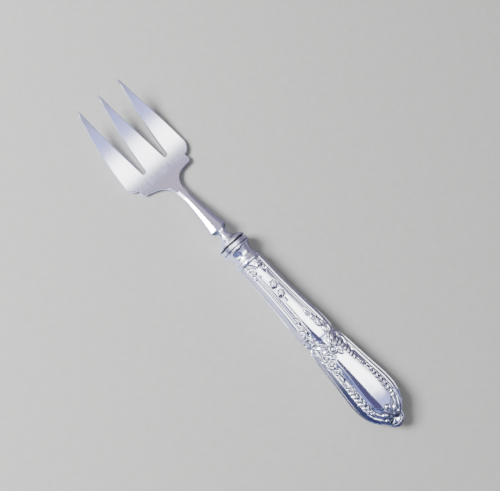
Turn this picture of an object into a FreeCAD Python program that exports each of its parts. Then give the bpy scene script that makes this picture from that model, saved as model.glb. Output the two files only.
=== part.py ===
import FreeCAD, Part
import os
import re
import Sketcher
from FreeCAD import Vector

# Bread fork: a forged head with three tines and a tang, a turned ferrule, and a hollow handle of two
# stamped halves round a cement core. Each piece is drawn along +Y from the butt to the tine tips with
# the handle's axis at height zero, and is then set down so that ring and belly touch the table.

SIZES = {
    # Whole fork
    "overall_length": 205.5,
    # Plan of the head: places are measured from the butt, half widths from the middle
    "tip_half_width": 0.35,
    "side_tip_offset": 12.15,
    "slot_place": 166.1,
    "slot_offset": 6.72,
    "slot_half_width": 0.97,
    "middle_tine_bow": 0.5,
    "inner_edge_bow": 0.2,
    "outer_edge_bow": 1.05,
    "shoulder_place": 167.6,
    "shoulder_half_width": 18.6,
    "notch_place": 160.7,
    "notch_half_width": 14.35,
    "notch_rise": 0.15,
    "notch_step": 0.75,
    "left_ear_lift": 1.1,
    "ear_place": 158.9,
    "ear_half_width": 14.75,
    "ear_bottom_place": 156.5,
    "ear_bottom_half": 12.0,
    "crown_root_place": 155.9,
    "crown_root_half": 7.4,
    "neck_place": 148.0,
    "neck_half_width": 2.3,
    # Side view of the head: drops are below the handle's axis, rises above it
    "neck_drop": 2.05,
    "neck_thickness": 2.4,
    "ramp_place": 153.6,
    "ramp_drop": 3.75,
    "crown_place": 160.0,
    "crown_drop": 4.7,
    "crown_thickness": 2.0,
    "tip_rise": 8.6,
    "tip_thickness": 0.6,
    # Stem: place, half width, half depth and height of the middle at five stations
    "stem_top_place": 150.0,
    "stem_top_half_width": 2.3,
    "stem_top_half_depth": 1.05,
    "stem_top_height": -3.85,
    "stem_waist_place": 143.0,
    "stem_waist_half_width": 2.0,
    "stem_waist_half_depth": 1.6,
    "stem_waist_height": -1.95,
    "stem_middle_place": 134.5,
    "stem_middle_half_width": 2.55,
    "stem_middle_half_depth": 2.1,
    "stem_middle_height": -0.8,
    "stem_swell_place": 128.5,
    "stem_swell_half_width": 3.15,
    "stem_swell_half_depth": 2.45,
    "stem_swell_height": -0.35,
    "stem_end_place": 122.4,
    "stem_end_half_width": 4.1,
    "stem_end_half_depth": 2.9,
    "stem_end_height": 0.0,
    "stem_bevel": 0.4,
    # Neck and bolster, turned about the axis
    "collar_place": 119.9,
    "collar_half_size": 2.75,
    "collar_bevel": 0.6,
    "neck_radius": 2.5,
    "cove_place": 118.4,
    "bolster_place": 115.1,
    "bolster_step_radius": 5.0,
    "bolster_brow_radius": 6.4,
    "bolster_brow": 0.7,
    "ring_radius": 7.4,
    "ring_height": 0.85,
    "seat_radius": 5.9,
    "seat_gap": 0.8,
    # Tang
    "tang_half_width": 2.4,
    "tang_end_half_width": 1.2,
    "tang_length": 50.0,
    # Ferrule
    "ferrule_place": 111.9,
    "ferrule_ring": 1.8,
    "second_ring_radius": 7.1,
    "second_ring": 1.1,
    "cove_top_radius": 6.5,
    "cove_radius": 5.05,
    "cove_bottom_place": 104.1,
    "cove_rise_place": 106.3,
    "bead_radius": 6.5,
    "bead_foot_radius": 6.0,
    "bead_width": 2.4,
    "bead_edge": 0.45,
    "ferrule_bore": 4.2,
    # Handle: place, half width and half depth at each station, from the ferrule to the butt
    "mouth_place": 99.9,
    "mouth_half_width": 6.2,
    "mouth_half_depth": 5.9,
    "barrel_place": 86.0,
    "barrel_half_width": 6.4,
    "barrel_half_depth": 5.95,
    "swell_place": 70.0,
    "swell_half_width": 7.4,
    "swell_half_depth": 6.15,
    "bulge_place": 58.5,
    "bulge_half_width": 8.15,
    "bulge_half_depth": 6.4,
    "waist_place": 52.3,
    "waist_half_width": 7.1,
    "waist_half_depth": 6.3,
    "shoulder_low_place": 50.3,
    "shoulder_low_half_width": 8.15,
    "shoulder_low_half_depth": 6.4,
    "panel_top_place": 46.5,
    "panel_top_half_width": 8.8,
    "panel_top_half_depth": 6.6,
    "panel_middle_place": 35.0,
    "panel_middle_half_width": 9.75,
    "panel_middle_half_depth": 7.1,
    "belly_place": 20.5,
    "belly_half_width": 11.05,
    "belly_half_depth": 7.4,
    "turn_place": 13.8,
    "turn_half_width": 10.45,
    "turn_half_depth": 7.05,
    "cheek_place": 9.4,
    "cheek_half_width": 8.75,
    "cheek_half_depth": 6.0,
    "root_place": 6.4,
    "root_half_width": 6.5,
    "root_half_depth": 4.75,
    "butt_place": 4.6,
    "butt_half_width": 4.55,
    "butt_half_depth": 3.65,
    "knob_place": 3.0,
    "knob_half_width": 3.95,
    "knob_half_depth": 3.2,
    "knob_fall_place": 1.2,
    "knob_fall_half_width": 2.45,
    "knob_fall_half_depth": 2.1,
    "knob_end_place": 0.0,
    "knob_end_half_width": 1.0,
    "knob_end_half_depth": 0.8,
    # Relief of the handle
    "upper_thread_share": 0.72,
    "lower_thread_share": 0.8,
    "upper_panel_share": 0.48,
    "lower_panel_share": 0.54,
    "thread_half_width": 0.45,
    "thread_height": 0.35,
    "channel_depth": 0.12,
    "panel_step": 0.2,
    "panel_edge_width": 0.3,
    # Carving: length and breadth at the root and height over the surface; places across the handle as
    # shares of its half width; turns from its axis in degrees
    "floret_length": 4.6,
    "floret_breadth": 4.8,
    "floret_rise": 0.95,
    "floret_gap": 5.4,
    "rosette_length": 5.4,
    "rosette_rise": 0.75,
    "leaf_length": 7.0,
    "leaf_breadth": 3.4,
    "leaf_rise": 0.95,
    "mouth_leaf_share": 0.3,
    "mouth_leaf_turn": 30,
    "spray_leaf_share": 0.5,
    "spray_leaf_turn": 25,
    "waist_leaf_share": 0.5,
    "waist_leaf_turn": 50,
    "husk_length": 4.6,
    "husk_breadth": 3.2,
    "husk_rise": 0.95,
    "husk_gap": 4.0,
    "husk_share": 0.66,
    "husk_turn": 25,
    "petal_length": 5.0,
    "petal_breadth": 2.8,
    "petal_rise": 0.9,
    "petal_share": 0.35,
    "petal_turn": 35,
    "carving_root": 0.8,
    "carving_ridge": 0.35,
    "carving_crest": 0.2,
    # Sheet and fit
    "wall": 0.4,
    "clearance": 0.05,
}

UPPER_LOBE = ["mouth", "barrel", "swell", "bulge", "waist"]
LOWER_LOBE = ["waist", "shoulder_low", "panel_top", "panel_middle", "belly", "turn", "cheek", "butt"]
HOLLOW_LOBE = ["waist", "panel_middle", "belly", "cheek", "root"]
KNOB = ["butt", "knob", "knob_fall", "knob_end"]
STEM = ["stem_top", "stem_waist", "stem_middle", "stem_swell", "stem_end"]
OVAL_KNEES = (0.84, 0.38)

FRAME_PLACE = "overall_length / 2"
FRAME_HEIGHT = "max(ring_radius; belly_half_depth)"

doc = FreeCAD.newDocument("bread_fork")
sheet = doc.addObject("Spreadsheet::Sheet", "sizes")
for row, (name, value) in enumerate(SIZES.items(), start=1):
    sheet.set(f"A{row}", name)
    sheet.set(f"B{row}", str(value))
    sheet.setAlias(f"B{row}", name)
doc.recompute()

# Helpers for bodies, sketches and lofts


def bound(words):
    """An expression over the sheet, from one written with the plain names of the sizes."""
    return re.sub(r"[a-z_]+", lambda m: f"sizes.{m[0]}" if m[0] in SIZES else m[0], words)


def new_body(label):
    """A body drawn about the handle's axis and set down with ring and belly on the table."""
    body = doc.addObject("PartDesign::Body", label)
    body.Label = label
    body.setExpression("Placement.Base.y", bound(f"-{FRAME_PLACE}"))
    body.setExpression("Placement.Base.z", bound(FRAME_HEIGHT))
    return body


def new_sketch(body, name, plane, offset="0"):
    """A sketch on one of the body's origin planes, moved along that plane's normal."""
    sketch = body.newObject("Sketcher::SketchObject", name)
    support = next(f for f in body.Origin.OriginFeatures if f.Role == plane)
    sketch.AttachmentSupport = [(support, "")]
    sketch.MapMode = "FlatFace"
    sketch.setExpression("AttachmentOffset.Base.z", bound(offset))
    return sketch


def hold(sketch, element, end, place):
    """Ties one point of a sketch to a place given as two expressions."""
    for words, kind, axis in ((place[0], "DistanceX", -2), (place[1], "DistanceY", -1)):
        if words == "0":
            sketch.addConstraint(Sketcher.Constraint("PointOnObject", element, end, axis))
            continue
        amount = float(sketch.evalExpression(bound(words)))
        index = sketch.addConstraint(Sketcher.Constraint(kind, -1, 1, element, end, amount))
        sketch.setExpression(f"Constraints[{index}]", bound(words))


def spot(sketch, place):
    """Where a place lies now, as a point of the sketch."""
    x, y = (float(sketch.evalExpression(bound(words))) for words in place)
    return Vector(x, y, 0)


def draw(sketch, corners, bows=None):
    """A closed outline through the corners. bows gives the middle point of each side that is an arc."""
    bows = bows or {}
    count = len(corners)
    starts, ends = [], []
    for side in range(count):
        first, last = spot(sketch, corners[side]), spot(sketch, corners[(side + 1) % count])
        if side not in bows:
            element = sketch.addGeometry(Part.LineSegment(first, last), False)
            starts.append((element, 1))
            ends.append((element, 2))
            continue
        middle = spot(sketch, bows[side])
        turns_left = (middle - first).cross(last - middle).z > 0
        arc = Part.Arc(first, middle, last) if turns_left else Part.Arc(last, middle, first)
        element = sketch.addGeometry(arc, False)
        starts.append((element, 1 if turns_left else 2))
        ends.append((element, 2 if turns_left else 1))
        through = sketch.addGeometry(Part.Point(middle), True)
        hold(sketch, through, 1, bows[side])
        sketch.addConstraint(Sketcher.Constraint("PointOnObject", through, 1, element))
    for side in range(count):
        hold(sketch, *starts[side], corners[side])
        sketch.addConstraint(Sketcher.Constraint("Coincident", *ends[side - 1], *starts[side]))


def opposite(place):
    """The same place on the other side of the middle."""
    return (place[0] if place[0] == "0" else f"-({place[0]})", place[1])


def joined(right, left):
    """An outline from its right side and the shape of its left side, each as corners and arcs."""
    (corners, bows), (left_corners, left_bows) = right, left
    count = len(corners)
    both = list(corners) + [opposite(corner) for corner in reversed(left_corners)]
    both_bows = dict(bows)
    for side, middle in left_bows.items():
        if side < count - 1:
            both_bows[2 * count - 2 - side] = opposite(middle)
    return both, both_bows


def mirrored(corners):
    """An outline of straight sides given by its right side, with the same on the left."""
    return joined((corners, {}), (corners, {}))[0]


def cove(inner, outer, shares):
    """Points of a turned hollow that starts along the axis at inner and flares to outer."""
    across = f"({outer[0]} - {inner[0]})"
    along = f"({outer[1]} - ({inner[1]}))"
    return [(f"{inner[0]} + {across} * {share}^2.5", f"{inner[1]} + {along} * {share}") for share in shares]


def loft(body, kind, name, sketches, ruled=False):
    """An additive or subtractive loft through the sketches."""
    feature = body.newObject(f"PartDesign::{kind}Loft", name)
    feature.Profile = sketches[0]
    feature.Sections = sketches[1:]
    feature.Ruled = ruled
    return feature


def revolve(body, name, corners):
    """A solid turned about the handle's axis from a profile of radius against place."""
    sketch = new_sketch(body, f"{name}_profile", "XY_Plane")
    draw(sketch, corners)
    feature = body.newObject("PartDesign::Revolution", name)
    feature.Profile = sketch
    feature.ReferenceAxis = (sketch, ["V_Axis"])
    feature.Angle = 360
    return feature


# Head: tines and crown


def head_side(lift):
    """One side of the plan, from the stem round the ear to the middle tip. lift moves the ear tipward."""
    slot_mouth = "slot_place + slot_half_width"
    half_way = "(slot_place + overall_length) / 2"
    slot_near = "slot_offset - slot_half_width"
    slot_far = "slot_offset + slot_half_width"
    side_in = "side_tip_offset - tip_half_width"
    side_out = "side_tip_offset + tip_half_width"
    corners = [
        ("neck_half_width", "neck_place"),
        ("crown_root_half", "crown_root_place"),
        ("ear_bottom_half", f"ear_bottom_place + {lift}"),
        ("ear_half_width", f"ear_place + {lift}"),
        ("notch_half_width", f"notch_place + {lift}"),
        ("notch_half_width + notch_step", f"notch_place + notch_rise + {lift}"),
        ("shoulder_half_width", "shoulder_place"),
        (side_out, "overall_length"),
        (side_in, "overall_length"),
        (slot_far, slot_mouth),
        (slot_near, slot_mouth),
        ("tip_half_width", "overall_length"),
    ]
    sweep = "(crown_root_half - neck_half_width)"
    drop = "(crown_root_place - neck_place)"
    bows = {
        0: (f"neck_half_width + {sweep} * 0.3", f"neck_place + {drop} * 0.64"),
        2: ("ear_half_width - 0.5", f"ear_bottom_place + 0.85 + {lift}"),
        5: ("shoulder_half_width - 0.95", f"notch_place + 2.3 + {lift} / 2"),
        6: (f"(shoulder_half_width + {side_out}) / 2 + outer_edge_bow", half_way),
        8: (f"({side_in} + {slot_far}) / 2 - inner_edge_bow", half_way),
        9: ("slot_offset", "slot_place"),
        10: (f"({slot_near} + tip_half_width) / 2 + middle_tine_bow", half_way),
    }
    return corners, bows


def side_curve(neck, ramp, low, tip):
    """The four corners of one face of the head in side view, and its two arcs' middle points."""
    corners = [
        ("neck_place", neck),
        ("ramp_place", ramp),
        ("crown_place", low),
        ("overall_length", tip),
    ]
    run = "(overall_length - crown_place)"
    rise = f"(({tip}) - ({low}))"
    radius = f"(({run}^2 + {rise}^2) / (2 * {rise}))"
    rising = f"({low}) + {radius} - sqrt({radius}^2 - {run}^2 / 4)"
    falling = f"({low}) + (({ramp}) - ({low})) * 0.25"
    bows = {
        1: ("(ramp_place + crown_place) / 2", falling),
        2: ("(crown_place + overall_length) / 2", rising),
    }
    return corners, bows


head = new_body("fork_head")
blank_half_depth = "overall_length / 10"
plan = new_sketch(head, "head_plan", "XY_Plane")
draw(plan, *joined(head_side("0"), head_side("left_ear_lift")))
blank = head.newObject("PartDesign::Pad", "head_blank")
blank.Profile = plan
blank.SideType = "Symmetric"
blank.setExpression("Length", bound(f"2 * {blank_half_depth}"))

dies = new_sketch(head, "bending_dies", "YZ_Plane")
top, top_bows = side_curve("-neck_drop", "-ramp_drop", "-crown_drop", "tip_rise")
under, under_bows = side_curve(
    "-neck_drop - neck_thickness",
    "-ramp_drop - (neck_thickness + crown_thickness) / 2",
    "-crown_drop - crown_thickness",
    "tip_rise - tip_thickness",
)
past_tips, before_neck = "overall_length + 1", "neck_place - 1"
for face, bows, far in ((top, top_bows, blank_half_depth), (under, under_bows, f"-{blank_half_depth}")):
    start = [(before_neck, face[0][1])]
    finish = [(past_tips, face[-1][1]), (past_tips, f"{far} * 1.2"), (before_neck, f"{far} * 1.2")]
    draw(dies, start + face + finish, {side + 1: middle for side, middle in bows.items()})
bend = head.newObject("PartDesign::Pocket", "head_bend")
bend.Profile = dies
bend.SideType = "Symmetric"
bend.Type = "Length"
bend.setExpression("Length", bound("4 * shoulder_half_width"))
doc.recompute()

# Head: stem, collar, bolster and tang


def eight_sided(body, name, place, half_width, half_depth, height, bevel):
    """An eight-sided section across the stem. bevel is the share of the half depth that is cut."""
    sketch = new_sketch(body, name, "XZ_Plane", f"-{place}")
    cut = f"{bevel} * {half_depth}"
    right = [
        (f"{half_width} - {cut}", f"{height} - {half_depth}"),
        (half_width, f"{height} - {half_depth} + {cut}"),
        (half_width, f"{height} + {half_depth} - {cut}"),
        (f"{half_width} - {cut}", f"{height} + {half_depth}"),
    ]
    draw(sketch, mirrored(right))
    return sketch


def stem_section(at):
    """The stem's section at one of its stations."""
    sizes = (f"{at}_place", f"{at}_half_width", f"{at}_half_depth", f"{at}_height")
    return eight_sided(head, f"{at}_section", *sizes, "stem_bevel")


stem_sections = [stem_section(at) for at in STEM]
loft(head, "Additive", "stem", stem_sections)
collar_sizes = ("collar_place", "collar_half_size", "collar_half_size", "0", "collar_bevel")
collar_section = eight_sided(head, "collar_section", *collar_sizes)
loft(head, "Additive", "collar", [stem_sections[-1], collar_section], ruled=True)

rim_low = "ferrule_place + seat_gap"
rim_top = f"{rim_low} + ring_height"
neck_top = "collar_place + neck_radius / 5"
revolve(
    head,
    "bolster",
    [
        ("0", "ferrule_place"),
        ("seat_radius", "ferrule_place"),
        ("seat_radius", rim_low),
        ("ring_radius", rim_low),
        ("ring_radius", rim_top),
        ("bolster_brow_radius", "bolster_place - bolster_brow"),
        *cove(("neck_radius", "cove_place"), ("bolster_step_radius", "bolster_place"), (1, 0.6)),
        ("neck_radius", "cove_place"),
        ("neck_radius", neck_top),
        ("0", neck_top),
    ],
)


def shape_wedge(wedge, lengths, ends, breadths):
    """Ties a wedge along Y to its two ends, and to its half length and half breadth at each of them."""
    for end, place in zip(("min", "max"), ends):
        wedge.setExpression(f"Y{end}", bound(place))
    for mark, length, breadth in zip(("", "2"), lengths, breadths):
        for end, sign in (("min", "-"), ("max", "")):
            wedge.setExpression(f"X{mark}{end}", bound(f"{sign}({length})"))
            wedge.setExpression(f"Z{mark}{end}", bound(f"{sign}({breadth})"))


def tang_wedge(body, kind, name, grown="0"):
    """The square taper of the tang below the bolster, or the socket that takes it, drawn out by grown."""
    feature = body.newObject(f"PartDesign::{kind}Wedge", name)
    support = next(f for f in body.Origin.OriginFeatures if f.Role == "XY_Plane")
    feature.AttachmentSupport = [(support, "")]
    feature.MapMode = "FlatFace"
    sides = (f"tang_end_half_width + {grown}", f"tang_half_width + {grown}")
    shape_wedge(feature, sides, (f"ferrule_place - tang_length - {grown}", "ferrule_place"), sides)


tang_wedge(head, "Additive", "tang")
doc.recompute()

# Ferrule

ferrule = new_body("ferrule")
band_low = "ferrule_place - ferrule_ring"
second_low = f"{band_low} - second_ring"
bead_top = "mouth_place + bead_width"
revolve(
    ferrule,
    "ferrule_turning",
    [
        ("ferrule_bore", "ferrule_place"),
        ("ferrule_bore", "mouth_place"),
        ("bead_radius", "mouth_place"),
        ("bead_radius", f"{bead_top} - bead_edge"),
        ("bead_foot_radius", bead_top),
        ("cove_radius", "cove_bottom_place"),
        ("cove_radius", "cove_rise_place"),
        ("cove_top_radius", second_low),
        ("second_ring_radius", second_low),
        ("second_ring_radius", band_low),
        ("ring_radius", band_low),
        ("ring_radius", "ferrule_place"),
    ],
)
doc.recompute()

# Handle halves


def oval_height(across, station, less="0"):
    """Height of the plain oval section at a distance across from the middle, drawn in by less."""
    width, depth = f"({station}_half_width - {less})", f"({station}_half_depth - {less})"
    return f"{depth} * sqrt(1 - ({across})^2 / {width}^2)"


def relief_section(body, station, lobe):
    """Upper half of the handle's section, with its edge thread, sunk channel and raised middle panel."""
    width = f"{station}_half_width"
    thread = f"{lobe}_thread_share * {width}"
    panel = f"{lobe}_panel_share * {width}"
    flank = f"({width} + {thread} + thread_half_width) / 2"
    places = [
        (flank, "0"),
        (thread, "thread_height"),
        (f"{thread} - thread_half_width", "-channel_depth"),
        (f"{panel} + panel_edge_width", "-channel_depth"),
        (panel, "panel_step"),
        (f"{panel} * 0.45", "panel_step"),
    ]
    raised = [(across, f"{oval_height(across, station)} + {step}") for across, step in places]
    sketch = new_sketch(body, f"{lobe}_{station}_section", "XZ_Plane", f"-{station}_place")
    draw(sketch, mirrored([(width, "0")] + raised))
    return sketch


def plain_section(body, name, station, less="0", whole=False):
    """The plain oval of a station drawn in by less: its upper half, or the whole of it."""
    width = f"({station}_half_width - {less})"
    knees = [f"{width} * {share}" for share in OVAL_KNEES]
    right = [(width, "0")] + [(knee, oval_height(knee, station, less)) for knee in knees]
    corners = mirrored(right)
    if whole:
        corners += [(across, f"-({height})") for across, height in reversed(corners[1:-1])]
    sketch = new_sketch(body, name, "XZ_Plane", f"-{station}_place")
    draw(sketch, corners)
    return sketch


def hollow_form(body, less, whole=False):
    """The room inside the stamped sheet, from the mouth to the butt, drawn in by less."""
    for lobe, stations in (("upper", UPPER_LOBE), ("lower", HOLLOW_LOBE)):
        slices = [plain_section(body, f"{lobe}_{at}_slice", at, less, whole) for at in stations]
        loft(body, "Additive", f"{lobe}_room", slices)


blank = new_body("front_blank")
for lobe, stations in (("upper", UPPER_LOBE), ("lower", LOWER_LOBE)):
    loft(blank, "Additive", f"{lobe}_lobe", [relief_section(blank, at, lobe) for at in stations])
knob_sections = [plain_section(blank, f"{at}_knob_section", at) for at in KNOB]
loft(blank, "Additive", "butt_knob", knob_sections)

room = new_body("front_room")
hollow_form(room, "wall")

# Carving of the handle halves


def carved(name, kind, station, share="0", turn="0", along="0", sink="0"):
    """A carved bud, leaf or bead: a low wedge rooted square in the sheet and turned from the axis."""
    length = f"{kind}_length / 2"
    breadth = f"{kind}_breadth / 2" if f"{kind}_breadth" in SIZES else length
    across = f"{share} * {station}_half_width"
    rooted = f"{oval_height(across, station)} - {sink}"
    place = f"vector({across}; {station}_place + {along} - {FRAME_PLACE}; {rooted} + {FRAME_HEIGHT})"
    lean = f"atan({station}_half_depth / {station}_half_width * {share} / sqrt(1 - ({share})^2))"
    leaning = f"rotation(vector(0; 1; 0); {lean})"
    turned = f"rotation(vector(0; 0; 1); 90 - {turn}) * rotation(vector(1; 0; 0); 90)"
    bud = doc.addObject("Part::Wedge", name)
    lengths = (length, f"{length} * carving_ridge")
    breadths = (breadth, f"{breadth} * carving_crest")
    shape_wedge(bud, lengths, ("-carving_root", f"{kind}_rise"), breadths)
    bud.setExpression("Placement", bound(f"placement({place}; {leaning} * {turned})"))
    return bud


buds = [
    carved("upper_floret", "floret", "barrel"),
    carved("lower_floret", "floret", "barrel", along="-floret_gap"),
    carved("rosette", "rosette", "panel_top", turn="45"),
    carved("palmette_bead", "petal", "turn", along="-petal_length / 2", sink="petal_rise"),
]
for hand, side, other in (("right", "1", "-1"), ("left", "-1", "1")):
    leaning_in = (f"{side} * mouth_leaf_share", f"{side} * mouth_leaf_turn", "-leaf_length * 0.8")
    buds.append(carved(f"{hand}_mouth_leaf", "leaf", "mouth", *leaning_in))
    for spread, station in (("spray", "bulge"), ("waist", "shoulder_low")):
        leaning_out = (f"{side} * {spread}_leaf_share", f"{other} * {spread}_leaf_turn")
        buds.append(carved(f"{hand}_{spread}_leaf", "leaf", station, *leaning_out))
    folded = (f"{side} * petal_share", f"{side} * petal_turn")
    buds.append(carved(f"{hand}_palmette_petal", "petal", "cheek", *folded))
    husk_place = (f"{side} * husk_share", f"{other} * husk_turn")
    for at in range(2):
        buds.append(carved(f"{hand}_scroll_{at}", "husk", "panel_top", *husk_place, f"-husk_gap * {at}"))
        buds.append(carved(f"{hand}_husk_{at}", "husk", "belly", *husk_place, f"husk_gap * (0.5 - {at})"))

carved_blank = doc.addObject("Part::MultiFuse", "carved_blank")
carved_blank.Shapes = [blank, *buds]
front = doc.addObject("Part::Cut", "handle_front")
front.Label = "handle_front"
front.Base = carved_blank
front.Tool = room
doc.recompute()

back = doc.addObject("Part::Mirroring", "handle_back")
back.Label = "handle_back"
back.Source = front
back.Normal = Vector(0, 0, 1)
back.setExpression("Base.z", bound(FRAME_HEIGHT))
doc.recompute()

# Cement core

core = new_body("handle_filling")
hollow_form(core, "(wall + clearance)", whole=True)
plug_circle = new_sketch(core, "plug_circle", "XZ_Plane", "-(mouth_place - wall)")
circle = Part.Circle(Vector(0, 0, 0), Vector(0, 0, 1), SIZES["ferrule_bore"])
plug_edge = plug_circle.addGeometry(circle, False)
plug_circle.addConstraint(Sketcher.Constraint("Coincident", plug_edge, 3, -1, 1))
plug_size = plug_circle.addConstraint(Sketcher.Constraint("Radius", plug_edge, SIZES["ferrule_bore"]))
plug_circle.setExpression(f"Constraints[{plug_size}]", bound("ferrule_bore - clearance"))
plug = core.newObject("PartDesign::Pad", "ferrule_plug")
plug.Profile = plug_circle
plug.Reversed = True
plug.setExpression("Length", bound("ferrule_place - clearance - mouth_place + wall"))
tang_wedge(core, "Subtractive", "tang_socket", "clearance")
doc.recompute()

# Check and write

pieces = [head, ferrule, front, back, core]
for item in doc.Objects:
    if "Invalid" in item.State or "Error" in item.State:
        raise RuntimeError(f"{item.Label} did not compute: {item.State}")
os.makedirs("parts", exist_ok=True)
for piece in pieces:
    shape = piece.Shape
    if shape.isNull() or not shape.isValid():
        raise RuntimeError(f"{piece.Label} has no sound solid")
    shape.exportStep(f"parts/{piece.Label}.step")
    box = shape.optimalBoundingBox(False)
    size = f"{box.XLength:.2f} x {box.YLength:.2f} x {box.ZLength:.2f} mm"
    print(f"{piece.Label:15s} {len(shape.Solids)} solid  {shape.Volume:9.1f} mm3  {size}")
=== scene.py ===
# %% [markdown]
# # A three-tined bread fork with a stamped handle
# The fork lies on a table with its tines curving up. Its forged head runs down into a faceted stem and
# a turned bolster. A turned ferrule joins it to a hollow handle, which two stamped halves make.
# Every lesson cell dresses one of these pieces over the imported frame, which keeps the real sizes.

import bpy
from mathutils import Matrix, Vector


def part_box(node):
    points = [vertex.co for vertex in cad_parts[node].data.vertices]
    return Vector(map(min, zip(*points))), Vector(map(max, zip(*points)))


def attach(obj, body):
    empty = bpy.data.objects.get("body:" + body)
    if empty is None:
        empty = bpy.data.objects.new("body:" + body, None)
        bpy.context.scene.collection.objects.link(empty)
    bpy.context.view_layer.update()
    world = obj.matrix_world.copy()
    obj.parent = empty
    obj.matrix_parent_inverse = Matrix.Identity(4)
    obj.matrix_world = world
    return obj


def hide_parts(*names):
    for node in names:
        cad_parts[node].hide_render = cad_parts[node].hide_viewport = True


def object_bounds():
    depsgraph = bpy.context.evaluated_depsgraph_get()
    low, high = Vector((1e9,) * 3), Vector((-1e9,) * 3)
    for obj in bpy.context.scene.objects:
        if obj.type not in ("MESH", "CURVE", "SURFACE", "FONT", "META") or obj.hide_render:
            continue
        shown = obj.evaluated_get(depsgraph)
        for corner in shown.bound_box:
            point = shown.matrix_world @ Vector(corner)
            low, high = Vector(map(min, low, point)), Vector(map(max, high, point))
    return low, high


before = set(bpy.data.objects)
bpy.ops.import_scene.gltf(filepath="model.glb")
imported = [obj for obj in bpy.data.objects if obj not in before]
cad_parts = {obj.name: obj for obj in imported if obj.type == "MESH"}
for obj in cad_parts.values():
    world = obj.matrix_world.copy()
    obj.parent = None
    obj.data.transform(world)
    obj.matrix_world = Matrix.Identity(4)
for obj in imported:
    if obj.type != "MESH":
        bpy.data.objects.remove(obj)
cad_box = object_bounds()
print("nodes:", sorted(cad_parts))

# %% [markdown]
# ## Millimetres along the fork
# Blender counts in metres, and a silversmith in millimetres. Places along the fork are easiest to
# measure from the butt of the handle, so one function turns such a place into a point of the frame.
# The frame itself says where the butt is and how high the handle's axis lies above the table.

# %% Millimetres along the fork
import math

import bmesh
import bpy
import numpy as np
from mathutils import Matrix, Vector
from mathutils.geometry import tessellate_polygon

MM = 0.001
BUTT = cad_box[0][1] / MM
FORK_LENGTH = (cad_box[1][1] - cad_box[0][1]) / MM
AXIS_HEIGHT = (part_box("ferrule")[0][2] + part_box("ferrule")[1][2]) / 2 / MM


def in_frame(across, place, height):
    """Points of the frame in metres, from millimetres across, from the butt and above the axis."""
    return np.stack([across, np.asarray(place) + BUTT, np.asarray(height) + AXIS_HEIGHT], axis=-1) * MM


print(f"fork {FORK_LENGTH:.1f} mm long, axis {AXIS_HEIGHT:.2f} mm above the table")

# %% [markdown]
# ## A curve through stations
# A forged or stamped outline flows through a few measured stations. A cubic whose slopes are the
# harmonic mean of its neighbours passes through all of them and never bulges beyond them, which a
# plain spline would do beside a sharp waist.

# %% A curve through stations


def flowing(stations):
    """A function that flows through stations given as {place: value}, without overshooting."""
    places = np.array(sorted(stations), dtype=float)
    values = np.array([stations[place] for place in sorted(stations)], dtype=float)
    steps = np.diff(places)
    rises = np.diff(values) / steps
    slopes = np.concatenate([rises[:1], np.zeros(len(values) - 2), rises[-1:]])
    same_way = rises[:-1] * rises[1:] > 0
    pairs = 2 * rises[:-1] * rises[1:] / np.where(same_way, rises[:-1] + rises[1:], 1)
    slopes[1:-1] = np.where(same_way, pairs, 0)

    def value(place):
        place = np.asarray(place, dtype=float)
        span = np.clip(np.searchsorted(places, place) - 1, 0, len(steps) - 1)
        share = np.clip((place - places[span]) / steps[span], 0, 1)
        left, right = values[span], values[span + 1]
        lean_left, lean_right = slopes[span] * steps[span], slopes[span + 1] * steps[span]
        ease = share * share * (3 - 2 * share)
        bent = lean_left * share * (1 - share) ** 2 - lean_right * share * share * (1 - share)
        return left + (right - left) * ease + bent

    return value


print("halfway between stations 1 and 3:", float(flowing({0: 1.0, 10: 3.0})(5)))

# %% [markdown]
# ## From points to a piece
# Each piece becomes one mesh. It rides on the body called root, because nothing on a fork moves.
# Smooth shading with sharp edges past a chosen angle keeps turned corners crisp. A second helper
# stores a number on each point, which the silver will read later to darken its hollows with patina and
# painted shade.

# %% From points to a piece


def placed(name, data):
    """An object that stands in the scene and shows this data."""
    thing = bpy.data.objects.new(name, data)
    bpy.context.scene.collection.objects.link(thing)
    return thing


def new_piece(name, points, faces, sharp_angle):
    """A mesh piece in the frame that rides on the root body."""
    mesh = bpy.data.meshes.new(name)
    mesh.from_pydata(points.tolist(), [], faces)
    mesh.shade_smooth()
    mesh.set_sharp_from_angle(angle=math.radians(sharp_angle))
    piece = placed(name, mesh)
    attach(piece, "root")
    print(f"{name}: {len(mesh.vertices)} points, {len(mesh.polygons)} faces")
    return piece


def keep_hollows(piece, hollow):
    """Stores how deep each point lies in a hollow, from 0 to 1, for the silver's patina and painted shade."""
    mask = piece.data.attributes.new("hollow", "FLOAT", "POINT")
    mask.data.foreach_set("value", hollow)


def grid_faces(index):
    """Four-sided faces over a grid of point numbers."""
    corners = np.stack([index[:-1, :-1], index[:-1, 1:], index[1:, 1:], index[1:, :-1]], axis=-1)
    return corners.reshape(-1, 4).tolist()


print("a grid of 3 by 4 points has", len(grid_faces(np.arange(12).reshape(3, 4))), "faces")

# %% [markdown]
# ## The handle's body
# The handle swells towards the ferrule, pinches at a waist with a cusp on each side, and swells again
# to a broad lower lobe. Its half widths and half depths are read at stations from the butt upwards.
# The lower lobe has its own curve, so that the cusp at the waist stays sharp.

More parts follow.
